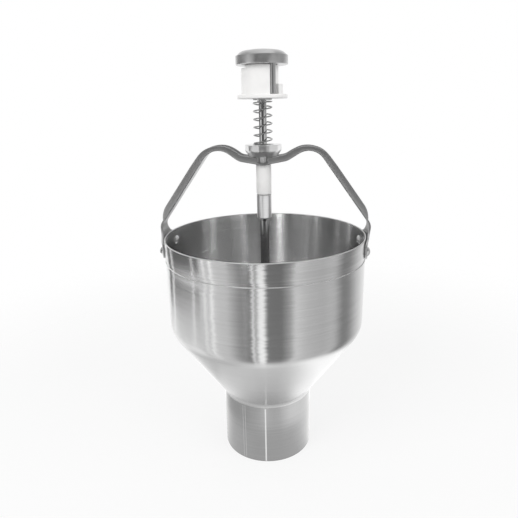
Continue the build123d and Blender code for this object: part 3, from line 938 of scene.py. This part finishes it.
upper_tube = ring_piece("tube_upper", "plunger_tube_upper", upper_bore, 0.2 * MM, bright_steel)
ring_piece("tube_lower", "plunger_tube_lower", lower_bore, 0.2 * MM, tube_steel_painted_shade)
sleeve = piece("sleeve_turned", sleeve_mesh(), sleeve_steel, "plunger", "polished_steel", "coupling_sleeve")
ring_piece("seat_washer", "spring_seat", upper_hole, 0.3 * MM, nut_steel)
piece("dial_stepped", dial_mesh(), nylon, "plunger", "white_nylon", "size_dial")
piece("piston_plate", piston_mesh(), piston_metal, "plunger", "piston_metal", "piston")
seal_bore = high("piston_seal").x - 2.2 * MM
ring_piece("seal_lip", "piston_seal", seal_bore, 0.6 * MM, rubber, "seal_rubber", 160)
for name, node_name, size, hole, body in (
    ("nut_dial", "dial_lock_nut", large_nut, upper_hole, "plunger"),
    ("nut_piston_upper", "piston_nut_upper", large_nut, lower_hole, "plunger"),
    ("nut_piston_lower", "piston_nut_lower", large_nut, lower_hole, "plunger"),
    ("nut_disc", "disc_jam_nut", small_nut, rod_hole, "centre_rod"),
    ("nut_cap", "cap_jam_nut", small_nut, rod_hole, "centre_rod"),
):
    piece(name, nut_mesh(node_name, size, hole), nut_steel, body, "nut_steel", node_name)


# Centre rod, forming disc and cap


def disc_mesh():
    """The crowned disc that closes the nozzle's mouth."""
    base, top, radius = extent("forming_disc")
    edge, land, bevel = 2 * MM, 7 * MM, 0.4 * MM
    fall = top - base - edge
    sphere = ((radius - land) ** 2 + fall**2) / (2 * fall)
    crown = [k / 12 * (radius - land) for k in range(13)]
    outline = [Vector((rod_hole, base)), Vector((radius - bevel, base)), Vector((radius, base + bevel))]
    outline += [Vector((land + x, top - sphere + sqrt(sphere**2 - x**2))) for x in reversed(crown)]
    outline.append(Vector((rod_hole, top)))
    return spun(outline, 160)


def dome_nut_mesh():
    """The closed nut under the disc: a hexagon that runs out into a dome."""
    base, top, flat = low("disc_dome_nut").z, high("disc_dome_nut").z, small_nut / 2
    middle = (base + top) / 2
    rows = []
    for angle in angles_round(nut_columns):
        corner, drop = hexagon(angle, flat)
        dome = [Vector((flat * sin(a), middle - (middle - base) * cos(a))) for a in (0, 0.3, 0.6, 0.9, 1.2)]
        outline = dome + [Vector((flat - 0.1 * MM, middle)), Vector((corner, middle + drop))]
        outline += [Vector((corner, top)), Vector((0, top))]
        rows.append(around(outline, angle))
    return woven(rows, wrap_rows=True)


def bulge(start, way, end, steps):
    """Points after start on the arc that leaves it along a way and runs to end."""
    side = Vector((way.y, -way.x))
    span = end - start
    radius = span.length_squared / (2 * span.dot(side))
    middle = start + side * radius
    return swept(middle, start - middle, end - middle, steps)[1:]


def cap_mesh():
    """The palm cap: a thick rim with a low dome on it."""
    crown_end = Vector((cap_crown_reach, cap_top - cap_crown_drop))
    dome = [Vector((0, cap_top))] + bulge(Vector((0, cap_top)), Vector((1, 0)), crown_end, 16)
    way = (dome[-1] - dome[-2]).normalized()
    dome += bulge(crown_end, way, Vector((cap_dome_radius, cap_shoulder)), 10)
    hole, depth = 2.26 * MM, 8 * MM
    rim = rounded(
        [
            (cap_dome_radius, cap_shoulder, 0),
            (cap_radius, cap_shoulder, 0.4 * MM),
            (cap_radius, cap_base, cap_edge),
            (hole, cap_base, 0.3 * MM),
            (hole, cap_base + depth, 0),
            (0, cap_base + depth, 0),
        ],
        closed=False,
    )
    return spun(dome + rim[1:], 128)


def pin_mesh():
    """The stop pin under the cap."""
    foot, top, stem = low("stop_pin").z, high("stop_pin").z, 1.8 * MM
    radius = (high("stop_pin").x - low("stop_pin").x) / 2
    corners = [
        (0, foot, 0),
        (radius, foot, 0.4 * MM),
        (radius, cap_base, 0),
        (stem, cap_base, 0),
        (stem, top, 0),
        (0, top, 0),
    ]
    mesh = turned(corners, count=48)
    middle = (low("stop_pin") + high("stop_pin")) / 2
    bmesh.ops.translate(mesh, vec=(middle.x, middle.y, 0), verts=mesh.verts)
    return mesh


def rod_mesh():
    """The long centre rod."""
    base, top, radius = extent("centre_rod")
    edge = 0.4 * MM
    return turned([(0, base, 0), (radius, base, edge), (radius, top, edge), (0, top, 0)], count=48)


piece("rod_centre", rod_mesh(), bright_steel, "centre_rod", "polished_steel", "centre_rod")
piece("disc_crowned", disc_mesh(), piston_metal, "centre_rod", "piston_metal", "forming_disc")
piece("nut_dome", dome_nut_mesh(), nut_steel, "centre_rod", "nut_steel", "disc_dome_nut")
piece("cap_domed", cap_mesh(), cap_metal, "palm_cap", "cap_metal", "palm_cap")
piece("pin_stop", pin_mesh(), pin_steel, "palm_cap", "polished_steel", "stop_pin")

for name in ("rod_bush_upper", "rod_bush_lower"):
    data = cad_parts[name].data
    data.materials.clear()
    data.materials.append(nylon)


# Studio

floor_radius = 0.8
floor_solid = 0.3
floor_end = 0.76
floor_level = 0.88
floor_white = 0.8
near_floor_radius = 0.085
mirrored_floor_start = 0.105
mirrored_floor_solid = 0.15
mirrored_floor_radius = 0.24
wall_radius = 2.0
wall_step = 3
wall_base = -6.0
wall_head = 0.55
ceiling_base = 3.4
screen_radius = 0.7
screen_base = 0.16
screen_head = 0.48
screen_turn = (-38, 28)
screen_level = 0.12
flag_radius = 1.9
flag_base = -0.57
flag_turns = ((-141, -129.5), (-125.5, -87.5), (-85.3, -77))
flag_level = 0.13
strip_radius = 1.95
strip_base = 0.6
strip_head = 1.8
nozzle_strip_radius = nozzle_radius + 0.6 * MM
nozzle_strip_head = nozzle_height - 4.5 * MM
sleeve_strip_radius = sleeve_radius + 3.5 * MM
sleeve_strip_base = sleeve_base - 2 * MM
collar_strip_radius = collar_radius + 1 * MM
collar_strip_base = collar_base + 0.2 * MM
sky_left = 0.75
sky_right = 1.15
sky_change = (-0.6, 0.4)
soft_light = 0.6
lamp_aim = Vector((0, 0, 0.2))

# Panels round the object: degrees from the camera, to its right, and how bright each is
wall_panels = (
    (-180, 1.1), (-150, 1.12), (-130, 1.32), (-118, 1.14), (-98, 1.2), (-86, 1.24), (-73, 0.62),
    (-71.2, 2.0), (-69.4, 0.82), (-63.6, 0.82), (-61.8, 2.0), (-60, 0.88), (-44, 0.82), (-28, 0.34),
    (-20, 0.14), (-17.3, 0.22), (-15.4, 1.4), (-12.6, 0.4), (-8.5, 1.4), (-4, 1.45), (0.5, 0.27),
    (16, 0.25), (25, 0.5), (31, 0.92), (44, 0.74), (64, 0.63), (80, 0.71), (93, 0.3), (104, 0.33),
    (122, 0.75), (138, 0.97), (180, 1.1),
)
upper_panels = (
    (-180, 1.0), (-150, 1.0), (-125, 0.45), (-30, 0.36), (30, 0.36), (125, 0.45), (150, 1.0), (180, 1.0),
)
# The floor's panels are painted light and shade: the levels that reflections see on the floor in place of
# its lit look and the object's shadow
floor_painted_panels = (
    (-180, 1.8), (-150, 2.0), (-135, 1.5), (-120, 1.1), (-100, 0.76), (-80, 0.7), (-48, 0.72),
    (-28, 0.88), (-8, 1.1), (12, 1.0), (24, 1.02), (36, 1.25), (48, 1.45), (60, 1.52), (80, 1.5),
    (100, 1.48), (117, 1.5), (150, 1.6), (180, 1.8),
)
near_floor_painted_panels = (
    (-180, 1.3), (-120, 1.2), (-75, 0.92), (-20, 0.82), (20, 0.82), (45, 0.9), (60, 1.05), (80, 1.3),
    (100, 1.38), (180, 1.3),
)

# Strip lights over the mouth and close to pieces: degrees from the camera, width in degrees, brightness
mouth_strips = ((-128, 5, 16.0), (-72, 2.5, 9.0), (-21.5, 7, 22.0), (35, 16, 1.7), (71, 9, 4.6))
nozzle_strips = ((-34.9, 0.6, 1.3), (-31.4, 0.6, 1.3), (-4, 1.8, 1.9))
sleeve_strips = ((-30, 22, 0.8), (16, 56, 0.9))
collar_strips = ((-70, 28, 0.9), (-28, 26, 0.66), (14, 10, 0.42), (36, 34, 0.7), (64, 22, 0.98))


def stage_object(name, mesh, material):
    """An object of the studio, which isn't part of the dispenser."""
    made = mesh_object(name, mesh, material)
    return made


def mix_shaders(tree, share, first, second):
    """Two shaders mixed by a share of the second."""
    return node(tree, "ShaderNodeMixShader", {"Fac": share, 1: first, 2: second})


def mirror_rays(tree):
    """One on rays that a reflection or a clear material sends out, and one on the camera's own."""
    path = new_node(tree, "ShaderNodeLightPath", {}).outputs
    sharp = {0: path["Is Glossy Ray"], 1: path["Is Transmission Ray"]}
    return node(tree, "ShaderNodeMath", sharp, operation="MAXIMUM"), path["Is Camera Ray"]


def make_world():
    """White to the camera, a little darker on the left in reflections, and softer as light."""
    world = bpy.data.worlds.new("studio")
    world.use_nodes = True
    bpy.context.scene.world = world
    tree = world.node_tree
    white = tree.nodes["Background"]
    fill(tree, white, {"Color": grey(1.0), "Strength": 1.0})
    soft = node(tree, "ShaderNodeBackground", {"Color": grey(1.0), "Strength": soft_light})
    way = node(tree, "ShaderNodeTexCoord", {}, "Generated")
    side = node(tree, "ShaderNodeSeparateXYZ", {"Vector": way}, "X")
    change = {"Value": side, "From Min": sky_change[0], "From Max": sky_change[1]}
    levels = {"To Min": sky_left, "To Max": sky_right}
    strength = node(tree, "ShaderNodeMapRange", change | levels, "Result")
    sky = node(tree, "ShaderNodeBackground", {"Color": grey(1.0), "Strength": strength})
    mirrored, seen = mirror_rays(tree)
    lit = mix_shaders(tree, mirrored, soft, sky)
    shown = mix_shaders(tree, seen, lit, white.outputs[0])
    fill(tree, tree.nodes["World Output"], {"Surface": shown})


def fading(tree, distance, start, end):
    """Nothing up to a start, then a soft climb to one at an end."""
    inputs = {"Value": distance, "From Min": start, "From Max": end}
    return node(tree, "ShaderNodeMapRange", inputs, "Result", interpolation_type="SMOOTHSTEP")


def panel_levels(tree, place, panels):
    """How bright panels are in the direction of a place from the Z axis."""
    facing = {"Vector": place, "Angle": pi / 2 - camera_azimuth}
    faced = node(tree, "ShaderNodeVectorRotate", facing, rotation_type="Z_AXIS")
    split = new_node(tree, "ShaderNodeSeparateXYZ", {"Vector": faced}).outputs
    angle = node(tree, "ShaderNodeMath", {0: split["Y"], 1: split["X"]}, operation="ARCTAN2")
    round_share = {"Value": angle, "From Min": -pi, "From Max": pi}
    share = node(tree, "ShaderNodeMapRange", round_share, "Result")
    ramp = new_node(tree, "ShaderNodeValToRGB", {"Fac": share})
    stops = ramp.color_ramp.elements
    stops.remove(stops[1])
    for k, (turn, level) in enumerate(panels):
        stop = stops[0] if k == 0 else stops.new(0.5 + turn / 360)
        stop.position = 0.5 + turn / 360
        stop.color = grey(level)
    return ramp.outputs["Color"]


def emission(tree, colour, strength=1.0):
    """Light of a colour."""
    return node(tree, "ShaderNodeEmission", {"Color": colour, "Strength": strength})


def make_floor():
    """A pale round floor that keeps the shadow and fades into the white around it; reflections see painted
    light and shade on it.
    """
    material, tree, shader = new_material("floor_pale")
    fill(tree, shader, {"Base Color": grey(floor_level), "Roughness": 0.9, "Specular IOR Level": 0.0})
    place = node(tree, "ShaderNodeTexCoord", {}, "Object")
    distance = node(tree, "ShaderNodeVectorMath", {0: place}, "Value", operation="LENGTH")
    clear = node(tree, "ShaderNodeBsdfTransparent", {})
    mirrored, seen = mirror_rays(tree)
    share = node(tree, "ShaderNodeMath", {0: seen, 1: floor_white}, operation="MULTIPLY")
    lit = mix_shaders(tree, share, shader.outputs[0], emission(tree, grey(1.0)))
    lit = mix_shaders(tree, fading(tree, distance, floor_solid, floor_end), lit, clear)
    # Painted light and shade: to reflections the floor glows at levels listed round the Z axis, which stand
    # in for the lit floor and the object's shadow on it
    near = emission(tree, panel_levels(tree, place, near_floor_painted_panels))
    far = emission(tree, panel_levels(tree, place, floor_painted_panels))
    glow = mix_shaders(tree, fading(tree, distance, near_floor_radius, mirrored_floor_start), near, far)
    away = fading(tree, distance, mirrored_floor_solid, mirrored_floor_radius)
    glow = mix_shaders(tree, away, glow, clear)
    fill(tree, tree.nodes["Material Output"], {"Surface": mix_shaders(tree, mirrored, lit, glow)})
    mesh = bmesh.new()
    bmesh.ops.create_circle(mesh, cap_ends=True, segments=96, radius=floor_radius)
    stage_object("floor", mesh, material)


def make_wall(name, radius, base, head, panels, turn=(-180, 180)):
    """A round studio wall of panels or of one level, clear from outside, which only reflections see."""
    material, tree, _ = new_material(name)
    if isinstance(panels, tuple):
        place = node(tree, "ShaderNodeTexCoord", {}, "Object")
        glow = emission(tree, panel_levels(tree, place, panels))
        material.cycles.emission_sampling = "NONE"
    else:
        glow = emission(tree, grey(1.0), panels)
    inner = node(tree, "ShaderNodeNewGeometry", {}, "Backfacing")
    clear = node(tree, "ShaderNodeBsdfTransparent", {})
    fill(tree, tree.nodes["Material Output"], {"Surface": mix_shaders(tree, inner, clear, glow)})
    mesh = bmesh.new()
    count = ceil((turn[1] - turn[0]) / wall_step)
    turns = [camera_azimuth + radians(turn[0] + (turn[1] - turn[0]) * k / count) for k in range(count + 1)]
    lines = []
    for height in (base, head):
        lines.append([mesh.verts.new((radius * sin(a), -radius * cos(a), height)) for a in turns])
    for k in range(count):
        mesh.faces.new((lines[0][k], lines[0][k + 1], lines[1][k + 1], lines[1][k]))
    wall = stage_object(name, mesh, material)
    wall.visible_camera = False
    wall.visible_diffuse = False
    wall.visible_shadow = False
    wall.visible_transmission = False
    return wall


def make_strips(name, pieces, radius, base, head, strips):
    """Narrow walls of light that only some pieces show."""
    receivers = bpy.data.collections.new(name)
    for made in pieces:
        receivers.objects.link(made)
    for k, (turn, width, level) in enumerate(strips):
        sides = (turn - width / 2, turn + width / 2)
        strip = make_wall(f"{name}_{k + 1}", radius, base, head, level, sides)
        strip.light_linking.receiver_collection = receivers


def lamp(name, place, size, power):
    """A soft square lamp that reflections don't show."""
    data = bpy.data.lights.new(name, "AREA")
    data.size = size
    data.energy = power
    made = bpy.data.objects.new(name, data)
    bpy.context.scene.collection.objects.link(made)
    made.location = place
    made.rotation_euler = (lamp_aim - Vector(place)).to_track_quat("-Z", "Y").to_euler()
    made.visible_glossy = False
    made.visible_camera = False


def make_camera():
    """The camera where the photograph was taken from."""
    forward = Vector((-sin(camera_azimuth), cos(camera_azimuth), 0))
    right = Vector((cos(camera_azimuth), sin(camera_azimuth), 0))
    data = bpy.data.cameras.new("camera")
    data.lens = camera_lens
    camera = bpy.data.objects.new("camera", data)
    bpy.context.scene.collection.objects.link(camera)
    place = right * camera_side - forward * camera_distance + Vector((0, 0, camera_height))
    aim = forward * cos(camera_pitch) - Vector((0, 0, sin(camera_pitch)))
    turn = aim.to_track_quat("-Z", "Y").to_matrix().to_4x4()
    camera.matrix_world = Matrix.Translation(place) @ turn @ Matrix.Rotation(camera_roll, 4, "Z")
    bpy.context.scene.camera = camera


make_world()
make_floor()
make_wall("studio_wall", wall_radius, wall_base, wall_head, wall_panels)
make_wall("studio_wall_upper", wall_radius, wall_head, ceiling_base, upper_panels)
make_wall("dark_screen", screen_radius, screen_base, screen_head, screen_level, screen_turn)
for k, turn in enumerate(flag_turns):
    make_wall(f"dark_flag_{k + 1}", flag_radius, flag_base, wall_head, flag_level, turn)
make_strips("mouth_strip", [hopper], strip_radius, strip_base, strip_head, mouth_strips)
by_sleeve = [sleeve, upper_tube]
by_collar = [collar, spring, upper_tube] + arms
make_strips("nozzle_strip", [nozzle], nozzle_strip_radius, 0, nozzle_strip_head, nozzle_strips)
make_strips("sleeve_strip", by_sleeve, sleeve_strip_radius, sleeve_strip_base, sleeve_top, sleeve_strips)
make_strips("collar_strip", by_collar, collar_strip_radius, collar_strip_base, collar_top, collar_strips)
lamp("key_lamp", (-0.9, -1.1, 1.4), 1.0, 14)
lamp("fill_lamp", (1.2, -0.7, 0.9), 1.2, 8)
make_camera()
bpy.context.scene.view_settings.view_transform = "Standard"
